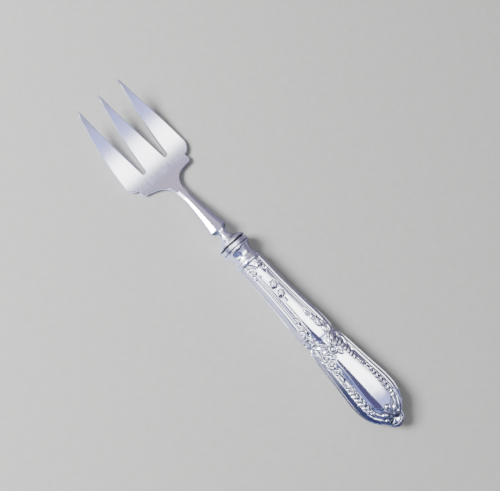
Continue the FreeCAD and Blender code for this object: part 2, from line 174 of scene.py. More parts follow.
# %% Stations of the handle
MOUTH_PLACE = 99.9
WAIST_PLACE = 52.3
HALF_WIDTH_LOW = flowing(
    {0: 0.0, 0.3: 1.15, 1.2: 2.45, 3.0: 3.95, 4.6: 4.55, 6.4: 6.5, 9.4: 8.75, 13.8: 10.45, 17.2: 11.0,
     20.5: 11.05, 27.1: 10.5, 35.0: 9.75, 46.5: 8.8, 50.3: 8.15, WAIST_PLACE: 7.1}
)
HALF_WIDTH_HIGH = flowing(
    {WAIST_PLACE: 7.1, 54.6: 7.8, 58.5: 8.15, 63.4: 8.0, 70.0: 7.4, 86.0: 6.4, MOUTH_PLACE: 6.2}
)
HALF_DEPTH = flowing(
    {0: 0.0, 0.3: 0.95, 1.2: 2.1, 3.0: 3.2, 4.6: 3.65, 6.4: 4.75, 9.4: 5.95, 13.8: 6.72, 17.2: 6.96,
     20.5: 7.08, 27.1: 7.16, 35.0: 6.98, 46.5: 6.5, WAIST_PLACE: 6.2, 58.5: 6.3, 70.0: 6.1, 86.0: 5.95,
     MOUTH_PLACE: 5.9}
)


def half_width(place):
    """Half width of the handle in millimetres."""
    return np.where(place < WAIST_PLACE, HALF_WIDTH_LOW(place), HALF_WIDTH_HIGH(place))


widest = max(float(half_width(place)) for place in range(int(MOUTH_PLACE)))
print(f"widest {2 * widest:.1f} mm, waist {2 * float(half_width(WAIST_PLACE)):.1f} mm")

# %% [markdown]
# ## Forms that a chaser knows
# A die for such a handle is cut with a few forms, used over and over: a rounded step, a ridge, a leaf
# with a vein, a bead and a cord. Each is a function from a point on the handle to a height. A height
# is real geometry, so its edges catch the light from every side.

# %% Step, ridge, leaf, bead and cord


def step_up(value, edge, width):
    """Rises smoothly from 0 to 1 as the value passes the edge, over that width."""
    share = np.clip((value - edge) / width + 0.5, 0, 1)
    return share * share * (3 - 2 * share)


def ridge(distance, half):
    """A rounded ridge of height 1 along a line, from the distance to it."""
    share = np.clip(np.abs(distance) / half, 0, 1)
    return (1 - share * share) ** 2


def swung(across, place, at, turn):
    """Distances along and beside a form that stands at a point, turned from the handle's axis."""
    angle = math.radians(turn)
    aside, ahead = across - at[0], place - at[1]
    along = aside * math.sin(angle) + ahead * math.cos(angle)
    return along, aside * math.cos(angle) - ahead * math.sin(angle)


def leaf(across, place, at, turn, length, breadth, rise=0.5):
    """A pointed leaf with a sunk vein."""
    along, beside = swung(across, place, at, turn)
    share = np.clip(along / length + 0.5, 0, 1)
    half = breadth / 2 * np.sin(np.pi * share**0.8) + 1e-6
    body = np.sqrt(np.clip(1 - (beside / half) ** 2, 0, 1))
    vein = 0.45 * np.exp(-((beside / (0.13 * breadth)) ** 2))
    return rise * body * (1 - vein)


def bead(across, place, at, long, wide, turn=0.0, rise=0.5):
    """A rounded bead or petal with two half sizes."""
    along, beside = swung(across, place, at, turn)
    return rise * np.sqrt(np.clip(1 - (along / long) ** 2 - (beside / wide) ** 2, 0, 1))


def cord(across, place, path, half, rise=0.4):
    """A raised cord along a path of points."""
    nearest = np.full(across.shape, 99.0)
    for (x0, y0), (x1, y1) in zip(path[:-1], path[1:]):
        share = ((across - x0) * (x1 - x0) + (place - y0) * (y1 - y0)) / ((x1 - x0) ** 2 + (y1 - y0) ** 2)
        share = np.clip(share, 0, 1)
        gap = np.hypot(across - x0 - share * (x1 - x0), place - y0 - share * (y1 - y0))
        nearest = np.minimum(nearest, gap)
    return rise * ridge(nearest, half)


def spiral(at, radius, start, turns, shrink=0.3):
    """Points of a scroll that winds in towards its eye. Angles are in degrees, turns may be negative."""
    shares = np.linspace(0, 1, 14)
    angles = np.radians(start + 360 * turns * shares)
    reach = radius * (1 - (1 - shrink) * shares)
    return [(at[0] + r * math.cos(a), at[1] + r * math.sin(a)) for r, a in zip(reach, angles)]


middle = np.array([0.0])
print("height of a leaf on its vein", round(float(leaf(middle, middle, (0, 0), 0, 4, 1.5)[0]), 2), "mm")

# %% [markdown]
# ## The ornament
# Most forms are the same left and right of the middle. They are listed once, for the right side, and
# meet the left side through the distance from the middle. Only the chain of leaflets on the right and
# the scrolls across from it have lists of their own. Under the ferrule stands a leaf scroll, then two
# florets and two dots. Leaf sprays flank the tongue above the waist. Below it come a rosette in
# acanthus, garlands of husks, a palmette and a star.

# %% Lists of the ornament
LEAVES = [
    # Across, place, turn from the axis, length, breadth: scroll under the ferrule
    (1.1, 97.9, 28, 3.4, 1.2), (2.7, 97.4, 62, 3.2, 1.1), (2.4, 94.6, -24, 3.4, 1.2),
    (3.6, 93.6, 12, 2.8, 0.9),
    # Sprays above the waist
    (2.8, 66.8, 14, 3.6, 1.1), (3.6, 63.6, 22, 4.2, 1.5), (4.6, 60.2, 30, 4.6, 1.7),
    (3.1, 59.6, -6, 3.6, 1.3), (5.5, 56.8, 42, 4.4, 1.7), (3.8, 55.8, 14, 3.8, 1.5),
    # Acanthus round the rosette
    (1.9, 50.4, 32, 3.8, 1.7), (4.4, 50.9, 48, 4.2, 1.8), (3.3, 47.7, 70, 3.4, 1.6),
    (7.0, 49.2, 16, 3.4, 1.2), (1.7, 43.3, -28, 3.0, 1.3), (3.2, 44.4, 22, 3.2, 1.3),
    # Leaves beside the chains and at their feet
    (7.2, 44.8, 10, 3.2, 0.9), (7.3, 40.4, 10, 3.0, 0.9), (5.9, 34.0, -5, 4.4, 0.9),
    # Palmette
    (1.3, 10.6, 26, 2.2, 0.9), (4.8, 10.8, 36, 2.6, 0.9), (1.0, 7.0, 12, 2.0, 0.8), (3.7, 6.6, 62, 2.2, 0.9),
]
# Across, place, turn, half length and half breadth of the palmette's large petals
PETALS = [(2.9, 8.9, 50, 1.7, 0.9)]
RIGHT_CHAIN = [(5.4, 48.4), (5.4, 46.6), (5.4, 44.8), (5.4, 43.0), (5.5, 41.2), (5.7, 39.4), (5.8, 37.6)]
LEFT_SCROLLS = [
    # Across, place, radius and winding of scrolls that end in a drilled eye
    (-4.9, 53.0, 1.1, -1), (-4.9, 45.4, 1.5, 1), (-5.0, 41.2, 1.35, -1), (-5.3, 37.3, 1.15, 1),
]
CORDS = [
    # Threads that leave the border and run in to the star
    [(8.3, 14.5), (7.4, 11.6), (6.1, 9.4), (4.9, 7.8), (4.2, 6.4)],
    [(6.1, 14.5), (5.5, 12.4), (4.6, 10.9)],
]
# Across, place and radius
FLORETS = [(0.9, 85.9, 1.7), (0.6, 80.7, 1.5)]
DOTS = [(0.3, 77.9, 0.45), (0.3, 76.6, 0.35)]
ROSETTE = (0.1, 46.2, 1.75)
# Across, place and two half sizes
PALMETTE_BEAD = (0.1, 11.4, 1.0, 0.9)
STAR = (0.0, 3.9, 3.4, 1.6)
CUTS = [
    # Across, place, turn, half length and half breadth of the deep cuts between the leaves
    (-2.9, 64.2, 30, 0.9, 0.45), (-4.4, 62.3, 40, 0.8, 0.5), (-3.2, 58.8, 20, 0.9, 0.5),
    (-5.3, 58.0, 50, 0.9, 0.5), (-6.1, 55.9, 74, 1.8, 0.95), (5.4, 61.6, 35, 0.9, 0.4),
    (4.4, 57.6, 25, 1.0, 0.45), (3.2, 96.2, 60, 1.3, 0.45), (2.0, 93.0, -30, 1.0, 0.4),
    (3.9, 94.9, 40, 0.8, 0.45), (-1.6, 94.4, 60, 0.7, 0.4), (-1.1, 92.0, 70, 0.5, 0.35),
]
HUSKS = [
    # Place, distance from the middle as a share of the half width, size
    (30.9, 0.68, 0.5), (28.6, 0.67, 0.7), (26.6, 0.67, 0.85), (24.5, 0.66, 1.0), (22.2, 0.65, 1.1),
    (19.8, 0.65, 1.25), (17.4, 0.64, 1.15), (15.3, 0.62, 0.9), (13.6, 0.60, 0.7),
]


def mirrored_forms(side, place):
    """Heights of all forms that are the same on both sides, from the distance to the middle."""
    forms = [leaf(side, place, (x, y), turn, length, breadth) for x, y, turn, length, breadth in LEAVES]
    forms += [bead(side, place, (x, y), long, wide, turn, 0.65) for x, y, turn, long, wide in PETALS]
    forms += [cord(side, place, path, 0.4, 0.3) for path in CORDS]
    for at, share, size in HUSKS:
        line = share * float(half_width(at))
        forms.append(bead(side, place, (line + 0.3, at), 1.15 * size, 0.52 * size, 38))
        forms.append(leaf(side, place, (line - 0.75 * size, at - 0.5), -34, 1.9 * size, 0.9 * size))
    return np.maximum.reduce(forms)


def one_sided_forms(across, place):
    """Heights of the leaflets on the right and of the scrolls on the left of the rosette."""
    forms = [leaf(across, place, at, 58, 2.9, 1.25) for at in RIGHT_CHAIN]
    for x, y, radius, winding in LEFT_SCROLLS:
        path = spiral((x, y), radius, 100 * winding, 1.1 * winding)
        forms.append(cord(across, place, path, 0.5, 0.5))
    return np.maximum.reduce(forms)


def star(across, place):
    """A flat star with four hollow-sided points, 1 on it and 0 beside it."""
    x, y, long, wide = STAR
    points = np.abs((across - x) / long) ** 0.75 + np.abs((place - y) / wide) ** 0.75
    return np.clip((1 - points) / 0.15, 0, 1) ** 0.5


def middle_forms(across, place):
    """Heights of the florets, dots, rosette, palmette bead and star along the middle."""
    forms = [bead(across, place, (x, y), radius, radius, rise=0.4) for x, y, radius in DOTS]
    for x, y, radius in FLORETS:
        for angle in range(36, 360, 72):
            reach = 0.6 * radius
            at = (x + reach * math.sin(math.radians(angle)), y + reach * math.cos(math.radians(angle)))
            forms.append(leaf(across, place, at, angle + 12, 1.15 * radius, 0.8 * radius))
        forms.append(bead(across, place, (x, y), 0.24 * radius, 0.24 * radius, rise=0.6))
    x, y, radius = ROSETTE
    forms.append(0.45 * ridge(np.hypot(across - x, place - y) - radius, 0.45))
    forms.append(bead(across, place, (x, y), 1.0, 1.0, rise=0.8))
    x, y, long, wide = PALMETTE_BEAD
    forms.append(bead(across, place, (x, y), long, wide, rise=0.65))
    # The star's face is pressed nearly level, although the ground under it falls towards the butt
    level = np.clip(0.45 + 0.3 * (STAR[1] - place), 0.05, 0.95)
    return np.maximum.reduce([*forms, level * star(across, place)])


def pits(across, place):
    """Depths of the drilled eyes of scrolls, of the comma beside each floret and of the cuts at the waist."""
    forms = [ridge(np.hypot(across - x, place - y), 0.8 * radius) for x, y, radius, _ in LEFT_SCROLLS]
    forms += [bead(across, place, (x, y), long, wide, turn, 0.9) for x, y, turn, long, wide in CUTS]
    for x, y, _ in FLORETS:
        arc = [(x + 1.5, y + 0.2), (x + 1.2, y - 1.2), (x + 0.1, y - 2.0), (x - 0.9, y - 1.9)]
        drop = [(x - 0.9, y - 1.8), (x - 1.6, y - 1.1)]
        forms += [cord(across, place, arc, 0.4, 0.8), cord(across, place, drop, 0.75, 1.0)]
    x, y, long, wide = STAR
    round_star = step_up(1 - ((across - x) / long) ** 2 - ((place - y) / (1.3 * wide)) ** 2, 0.1, 0.2)
    return np.maximum.reduce([*forms, 0.7 * round_star * (1 - star(across, place))])


print(len(LEAVES) * 2, "leaves,", len(LEFT_SCROLLS), "scrolls,", len(HUSKS) * 4, "husks on each half")

# %% [markdown]
# ## The stamped relief
# The die also presses border threads, a sunk channel and a raised tongue or panel into the sheet. The
# ground sinks a little round each carved form, as a chaser's punch leaves it, and this fine shadow is
# what makes an ornament readable from a step away. The hollows are kept as a mask from 0 to 1, because
# old silver stays dark where no polishing cloth reaches.

# %% Heights and hollows of the relief
THREAD_HEIGHT = 0.35
THREAD_HALF_WIDTH = 0.45
FINE_THREAD = (0.95, 0.14, 0.3)  # distance inside the thread, height, half width
THREAD_SHARE_LOW, THREAD_SHARE_HIGH = 0.8, 0.72
PANEL_SHARE_LOW, PANEL_SHARE_HIGH = 0.54, 0.48
PANEL_TIP_LOW, PANEL_TIP_HIGH = 46.5, 51.9
PANEL_ROUND_LOW, PANEL_ROUND_HIGH = 6.5, 4.5
PANEL_FOOT, PANEL_ROUND_FOOT = 11.5, 7
PANEL_STEP, PANEL_EDGE = 0.2, 0.16
THREADS_END, THREADS_FADE = 8.5, 4.0
CHAINS_START, CHAINS_END = 33, 52
SCROLL_START = 90.5
CHANNEL_DEPTH = 0.14
GROUND_SINK = 0.3
CUT_DEPTH = 0.5
LEDGE_DEPTH = 0.6
LEDGE_REACH = 0.18
COVE_SHARE, COVE_DEPTH = 0.88, 0.28
DIE_SHIFT = 0.6
LEFT_SCROLL_LOSS = 0.45
TARNISH_DEPTH = 0.11
PALMETTE_PLACE, PALMETTE_REACH, PALMETTE_HALF_WIDTH = 8.4, 4.6, 5.2


def softened(field, passes):
    """A grid of values averaged with its neighbours, several times."""
    for _ in range(passes):
        padded = np.pad(field, 1, mode="edge")
        field = (padded[:-2, 1:-1] + padded[2:, 1:-1] + field) / 3
        padded = np.pad(field, 1, mode="edge")
        field = (padded[1:-1, :-2] + padded[1:-1, 2:] + field) / 3
    return field


def rounded_end(share):
    """A panel's half width towards its end, from 0 to 1 as a quarter of an oval."""
    return np.sqrt(np.clip(1 - (1 - np.clip(share, 0, 1)) ** 2, 0, 1))


def borders(side, place):
    """Heights of threads, channel and panel, without any carving."""
    width = half_width(place)
    low = place < WAIST_PLACE
    thread = np.where(low, THREAD_SHARE_LOW, THREAD_SHARE_HIGH) * width
    panel = np.where(low, PANEL_SHARE_LOW, PANEL_SHARE_HIGH) * width
    # The tongue above the waist and the panel below it end in rounded tips
    tip = np.where(low, PANEL_TIP_LOW - place, place - PANEL_TIP_HIGH)
    round_end = rounded_end(tip / np.where(low, PANEL_ROUND_LOW, PANEL_ROUND_HIGH))
    foot = rounded_end((place - PANEL_FOOT) / PANEL_ROUND_FOOT)
    panel = panel * np.where(low, round_end * foot, round_end)
    fade = step_up(place, THREADS_END, THREADS_FADE)
    at_waist = 1 - 0.8 * ridge(place - WAIST_PLACE, 2.2)
    inside = step_up(thread - side, 0.0, 0.8)
    on_panel = step_up(panel - side, 0.0, 0.45)
    edge = PANEL_EDGE * ridge(side - panel, 0.3) * step_up(panel, 0.6, 0.6)
    height = THREAD_HEIGHT * ridge(side - thread, THREAD_HALF_WIDTH)
    beside_chains = low * step_up(place, CHAINS_START, 4) * step_up(CHAINS_END - place, 0, 4)
    inset_by, fine_height, fine_half = FINE_THREAD
    height = height + fine_height * ridge(side - thread + inset_by, fine_half) * (1 - beside_chains)
    height = height + edge - CHANNEL_DEPTH * inside * (1 - on_panel) + PANEL_STEP * on_panel
    return height * fade * at_waist


def relief(across, place, above_seam):
    """Heights in millimetres that the die adds to the plain oval, and the mask of its hollows' patina, with
    painted shade round the palmette.
    """
    side = np.abs(across)
    # The carving of the die sits a little to the left of its borders
    across = across + DIE_SHIFT
    carved = np.maximum(mirrored_forms(np.abs(across), place), one_sided_forms(across, place))
    x, y, radius = ROSETTE
    carved = carved * step_up(np.hypot(across - x, place - y), radius + 0.45, 0.3)
    carved = np.maximum(carved, middle_forms(across, place))
    # The scroll under the ferrule is pressed less deep on the left
    carved = carved * (1 - LEFT_SCROLL_LOSS * step_up(place, SCROLL_START, 1.0) * step_up(-across, 0.0, 1.0))
    halo = softened((carved > 0.02).astype(float), 4)
    bare = 1 - np.clip(carved / 0.12, 0, 1)
    cuts = pits(across, place)
    height = borders(side, place)
    height = height * (1 - 0.6 * halo) + carved - GROUND_SINK * halo * bare - CUT_DEPTH * cuts
    # A shallow cove runs between the thread and the narrow ledge of the seam
    ledge = step_up(LEDGE_DEPTH - above_seam, 0, 0.12)
    cove = step_up(side / np.maximum(half_width(place), 0.5), COVE_SHARE, 0.08) * (1 - ledge)
    height = height + (LEDGE_REACH * ledge - COVE_DEPTH * cove) * step_up(place, 1.4, 1.6)
    hollow = np.clip((softened(height, 10) - height) / TARNISH_DEPTH, 0, 1)
    hollow = np.maximum(hollow, np.clip(1.6 * cuts, 0, 1))
    # Painted shade: the bare ground round the palmette's petals is darkened
    palmette_painted_shade = ridge(place - PALMETTE_PLACE, PALMETTE_REACH) * bare
    palmette_painted_shade = palmette_painted_shade * step_up(PALMETTE_HALF_WIDTH - side, 0, 1.5)
    return height, np.maximum(hollow, 0.75 * palmette_painted_shade)


sample = np.meshgrid(np.linspace(40, 50, 60), np.linspace(-6, 6, 72), indexing="ij")
sample_height = relief(sample[1], sample[0], np.full_like(sample[0], 6.0))[0]
print(f"relief near the rosette from {sample_height.min():.2f} to {sample_height.max():.2f} mm")

# %% [markdown]
# ## Two stamped halves
# The grid has a row for each small step along the handle and a column for each angle round it, closer
# together where the ornament is. The half is closed: an inner skin, a lip along the seam and a face at
# the mouth give the sheet its real thickness. The back is pressed in the same die as the front.

# %% Building the halves
ROWS = 560
COLUMNS = 165
FLANK_COLUMNS = 22
FLANK_START = math.radians(62)
SHEET = 0.4
HOLLOW_END = 6.4
INNER_COLUMNS = 14


def handle_rows():
    """Places of the grid's rows, closer together at the rounded butt, with one row at the waist."""
    share = np.linspace(0, 1, ROWS)
    places = MOUTH_PLACE * (share + 0.035 * (np.cos(np.pi * share) - 1) / 2 + 0.035 * share)
    places = np.concatenate([[0.0, 0.02, 0.08, 0.18], places[places > 0.25]])
    places[np.argmin(np.abs(places - WAIST_PLACE))] = WAIST_PLACE
    places[-1] = MOUTH_PLACE
    return places


def handle_columns():
    """Angles of the grid's columns, from one seam over the middle to the other."""
    share = np.sin(np.linspace(0, np.pi / 2, FLANK_COLUMNS + 1)[1:])
    flank = FLANK_START + (np.pi / 2 - FLANK_START) * share
    top = np.linspace(-FLANK_START, FLANK_START, COLUMNS - 2 * FLANK_COLUMNS)
    return np.concatenate([-flank[::-1], top, flank])


def handle_half(name, up):
    """One stamped half. up is 1 for the front and -1 for the back."""
    places = handle_rows()
    place, angle = np.meshgrid(places, handle_columns(), indexing="ij")
    wide, deep = half_width(place), HALF_DEPTH(place)
    across, height = wide * np.sin(angle), deep * np.cos(angle)
    points = np.stack([across, place, height], axis=-1)
    normal = np.cross(np.gradient(points, axis=1), np.gradient(points, axis=0))
    normal = normal / np.maximum(np.linalg.norm(normal, axis=-1, keepdims=True), 1e-9)
    normal[0] = (0, -1, 0)
    if normal[len(places) // 2, COLUMNS // 2, 2] < 0:
        normal[1:] = -normal[1:]
    rise, hollow = relief(across, place, height)
    points = points + normal * rise[..., None]
    points[:, [0, -1], 2] = 0
    points[..., 2] = np.minimum(points[..., 2], AXIS_HEIGHT)
    inner_places = places[places >= HOLLOW_END]
    first_inner = len(places) - len(inner_places)
    inner_angles = np.linspace(-np.pi / 2, np.pi / 2, INNER_COLUMNS)
    place, angle = np.meshgrid(inner_places, inner_angles, indexing="ij")
    inner_wide, inner_deep = half_width(place) - SHEET, HALF_DEPTH(place) - SHEET
    inner = np.stack([inner_wide * np.sin(angle), place, inner_deep * np.cos(angle)], axis=-1)
    rows, columns = points.shape[:2]
    outer_index = np.arange(rows * columns).reshape(rows, columns)
    inner_index = rows * columns + np.arange(inner.shape[0] * INNER_COLUMNS).reshape(inner.shape[:2])
    everything = np.concatenate([points.reshape(-1, 3), inner.reshape(-1, 3)])
    everything[:, 2] *= up
    lip, butt = outer_index[first_inner:], outer_index[: first_inner + 1]
    faces = grid_faces(outer_index) + grid_faces(inner_index[:, ::-1])
    faces += grid_faces(np.stack([inner_index[:, 0], lip[:, 0]], axis=1))
    faces += grid_faces(np.stack([lip[:, -1], inner_index[:, -1]], axis=1))
    faces += grid_faces(np.stack([butt[:, -1], butt[:, 0]], axis=1))
    faces.append([*outer_index[-1].tolist(), *inner_index[-1][::-1].tolist()])
    faces.append(inner_index[0].tolist())
    if up < 0:
        faces = [face[::-1] for face in faces]
    piece = new_piece(name, in_frame(*everything.T), faces, 48)
    keep_hollows(piece, np.concatenate([hollow.ravel(), np.zeros(inner.size // 3)]))
    return piece


front_half = handle_half("front_half", 1)
back_half = handle_half("back_half", -1)
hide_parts("handle_front")
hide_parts("handle_back")

# %% [markdown]
# ## Turning on a lathe
# The ferrule and the bolster were turned, so one profile of radius against place describes each.
# Rounded beads and hollows are short curves in that profile.

# %% Turning a profile
TURNS = 160


def turned(name, profile, closed, grooves):
    """A lathe-turned piece from (radius, place) points, painted dark in grooves of (from, to, below this
    radius) for tarnish and painted shade.
    """
    angles = np.linspace(0, 2 * np.pi, TURNS, endpoint=False)
    radius, place = np.array(profile).T
    across = radius[:, None] * np.cos(angles)
    height = radius[:, None] * np.sin(angles)
    points = in_frame(across, np.repeat(place[:, None], TURNS, axis=1), height).reshape(-1, 3)
    index = np.arange(len(profile) * TURNS).reshape(len(profile), TURNS)
    index = np.concatenate([index, index[:, :1]], axis=1)
    if closed:
        index = np.concatenate([index, index[:1]])
    faces = grid_faces(index[:, ::-1])
    if not closed:
        faces += [index[0, :-1].tolist(), index[-1, :-1][::-1].tolist()]
    piece = new_piece(name, points, faces, 28)
    # Tarnish and painted shade: points in the grooves are marked dark
    groove_tarnish_and_shade = np.zeros(len(profile))
    for first, last, under in grooves:
        groove_tarnish_and_shade[(place >= first) & (place <= last) & (radius <= under)] = 1
    keep_hollows(piece, np.repeat(groove_tarnish_and_shade, TURNS))
    return piece


def bend(start, middle, end, count=8):
    """Points of a quadratic curve from start to end that leans towards middle."""
    share = np.linspace(0, 1, count)[:, None]
    start, middle, end = (np.array(point, dtype=float) for point in (start, middle, end))
    curve = start * (1 - share) ** 2 + 2 * middle * share * (1 - share) + end * share**2
    return [tuple(point) for point in curve]


print("a bend of 5 points ends at", bend((0, 0), (1, 0), (1, 1), 5)[-1])

# %% [markdown]
# ## The ferrule
# A bead seats the ferrule on the handle. Above its hollow neck stand two rings with a groove between
# them, painted dark for tarnish and painted shade, so it reads as a thin dark line. Its bore lets the tang
# pass.

# %% The ferrule
FERRULE_TOP = 111.9
FERRULE_FOOT = MOUTH_PLACE
RING_RADIUS = 7.4
ferrule_profile = [
    (4.2, FERRULE_TOP), (4.2, FERRULE_FOOT), (5.65, FERRULE_FOOT), (5.65, FERRULE_FOOT + 0.26),
    *bend((6.15, FERRULE_FOOT + 0.3), (6.85, FERRULE_FOOT + 1.2), (6.15, FERRULE_FOOT + 2.3), 12),
    (5.85, FERRULE_FOOT + 2.45), (5.95, FERRULE_FOOT + 2.7),
    *bend((5.9, FERRULE_FOOT + 2.8), (5.1, 103.6), (5.05, 104.6), 8),
    *bend((5.05, 104.7), (5.1, 107.4), (6.5, 108.7), 14),
    (6.95, 108.95), (7.1, 109.1), (7.1, 109.6), (6.95, 109.66), (6.55, 109.7), (6.55, 110.02),
    (7.3, 110.06), (RING_RADIUS, 110.2), (RING_RADIUS, 111.65), (7.25, 111.85), (6.9, FERRULE_TOP),
]
# Grooves painted dark, partly for tarnish and partly as painted shade
ferrule_grooves = [
    (FERRULE_FOOT, FERRULE_FOOT + 0.27, 5.7), (102.3, 102.5, 5.9), (109.69, 110.03, 6.6),
    (111.88, FERRULE_TOP, 7),
]
ferrule = turned("turned_ferrule", ferrule_profile, closed=True, grooves=ferrule_grooves)
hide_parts("ferrule")

# %% [markdown]
# ## The bolster
# The head ends in a bolster, a turned foot whose ring sits just above the ferrule. The narrow gap
# between them is real: the bolster's seat is smaller than both rings.

# %% The bolster
bolster_profile = [
    (5.9, FERRULE_TOP), (5.9, FERRULE_TOP + 0.9), (7.25, FERRULE_TOP + 0.9), (RING_RADIUS, FERRULE_TOP + 1.0),
    (RING_RADIUS, FERRULE_TOP + 1.45), (7.25, FERRULE_TOP + 1.62), (6.45, 114.35),
    (5.9, 114.45), (5.75, 114.6),
    *bend((5.15, 115.0), (2.8, 115.6), (2.5, 118.4), 14),
    (2.5, 120.4),
]
# The seat in the gap and the groove above it are painted dark: partly tarnish, partly painted shade
gap_between_rings = (FERRULE_TOP - 0.05, FERRULE_TOP + 0.95, 7.3)
bolster = turned("bolster", bolster_profile, closed=False, grooves=[gap_between_rings, (114.4, 114.5, 6.0)])

# %% [markdown]
# ## The stem and the tang
# The stem is forged with flat facets. Its width, depth and height change along it, so each row of the
# grid is the same eight-cornered ring drawn to the sizes at that place. Below its flare the file left
# two hollow corners, painted dark, partly for tarnish and partly as painted shade. The tang is a square
# taper that the smith drew out below the bolster. It is set in the handle's cement, out of sight.

# %% Faceted stem and square tang
STEM_WIDTH = flowing({122.4: 4.1, 128.5: 3.15, 134.5: 2.55, 143.0: 2.0, 149.2: 2.3})
STEM_DEPTH = flowing({122.4: 2.9, 128.5: 2.45, 134.5: 2.1, 143.0: 1.6, 149.2: 1.15})
STEM_HEIGHT = flowing({122.4: 0.0, 128.5: -0.35, 134.5: -0.8, 143.0: -1.95, 149.2: -3.6})
STEM_FACETS = (0.62, 0.3)
EDGE_ROUNDING = 0.12
TANG_TOP, TANG_END = FERRULE_TOP, FERRULE_TOP - 50.0
TANG_HALF, TANG_END_HALF = 2.4, 1.2


def faceted_ring(width, depth, height, place, facets):
    """Eight corners round a forged bar, each softened by three points. Facets are shares of both sizes."""
    aside, down = facets[0] * width, facets[1] * depth
    quarter = [(width, depth - down), (width - aside, depth), (aside - width, depth), (-width, depth - down)]
    corners = np.array(quarter + [(-x, -y) for x, y in quarter])
    ring = []
    for corner, before, after in zip(corners, np.roll(corners, 1, axis=0), np.roll(corners, -1, axis=0)):
        start = corner + (before - corner) / np.linalg.norm(before - corner) * EDGE_ROUNDING
        end = corner + (after - corner) / np.linalg.norm(after - corner) * EDGE_ROUNDING
        ring += [start, (start + end) / 4 + corner / 2, end]
    ring = np.array(ring)
    return in_frame(ring[:, 0], np.full(len(ring), place), ring[:, 1] + height)


def forged_bar(name, rows, corner_tarnish_and_shade):
    """A closed bar through rows of equal rings. Each row has a darkening from 0 to 1 on its corners, for
    tarnish and painted shade.
    """
    count = len(rows[0])
    index = np.arange(len(rows) * count).reshape(len(rows), count)
    index = np.concatenate([index, index[:, :1]], axis=1)
    faces = grid_faces(index) + [index[0, :-1][::-1].tolist(), index[-1, :-1].tolist()]
    piece = new_piece(name, np.concatenate(rows), faces, 25)
    aside = np.abs(np.array(rows)[..., 0])
    corners = step_up(aside / aside.max(axis=1, keepdims=True), 0.55, 0.3)
    # Corners of the rows are painted dark, partly tarnish and partly painted shade
    keep_hollows(piece, (np.array(corner_tarnish_and_shade)[:, None] * corners).ravel())
    return piece


RECESS = [
    # Place, half width, half depth and darkness, tarnish and painted shade, of the hollow-filed facets below
    # the flare
    (119.2, 2.3, 2.3, 0.0), (120.2, 2.5, 2.3, 0.5), (121.2, 3.2, 2.35, 0.93), (122.1, 3.95, 2.7, 0.93),
]
stem_rows = [faceted_ring(wide, deep, 0, at, (0.6, 0.5)) for at, wide, deep, _ in RECESS]
stem_tarnish_and_shade = [dark for _, _, _, dark in RECESS]
for at in np.linspace(122.3, 149.2, 60):
    wide, deep, high = float(STEM_WIDTH(at)), float(STEM_DEPTH(at)), float(STEM_HEIGHT(at))
    stem_rows.append(faceted_ring(wide, deep, high, at, STEM_FACETS))
    stem_tarnish_and_shade.append(0.0)
stem = forged_bar("stem", stem_rows, stem_tarnish_and_shade)
tang_rows = []
for at in np.linspace(TANG_END, TANG_TOP, 12):
    half = TANG_END_HALF + (TANG_HALF - TANG_END_HALF) * (at - TANG_END) / (TANG_TOP - TANG_END)
    tang_rows.append(faceted_ring(half, half, 0, at, (0.16, 0.16)))
tang = forged_bar("tang", tang_rows, [0.0] * len(tang_rows))

# %% [markdown]
# ## Crown and tines
# The smith cuts the head flat from sheet, files its edges and then bends it. The script does the same.
# First comes the outline: one side from the stem round the ear and a tine to the middle tip, and then
# the other side, whose ear sits a little nearer the tips, as filing by hand leaves it.

# %% Outline of the head
TIP_PLACE = FORK_LENGTH
TIP_HALF = 0.35
SIDE_TIP = 12.15
SLOT_PLACE = 166.1
SLOT_OFFSET = 6.72
SLOT_HALF = 0.97
SHOULDER = (18.6, 167.6)
LEFT_EAR_LIFT = 1.1


def arc_through(first, middle, last, count=14):
    """Points of the circle's arc through three points, without the last one."""
    (x1, y1), (x2, y2), (x3, y3) = first, middle, last
    twice = 2 * (x1 * (y2 - y3) + x2 * (y3 - y1) + x3 * (y1 - y2))
    s1, s2, s3 = x1 * x1 + y1 * y1, x2 * x2 + y2 * y2, x3 * x3 + y3 * y3
    cx = (s1 * (y2 - y3) + s2 * (y3 - y1) + s3 * (y1 - y2)) / twice
    cy = (s1 * (x3 - x2) + s2 * (x1 - x3) + s3 * (x2 - x1)) / twice
    start, mid, end = (math.atan2(y - cy, x - cx) for x, y in (first, middle, last))
    sweep = (end - start) % math.tau
    if (mid - start) % math.tau > sweep:
        sweep -= math.tau
    radius = math.hypot(x1 - cx, y1 - cy)
    steps = [start + sweep * step / count for step in range(count)]
    return [(cx + radius * math.cos(step), cy + radius * math.sin(step)) for step in steps]


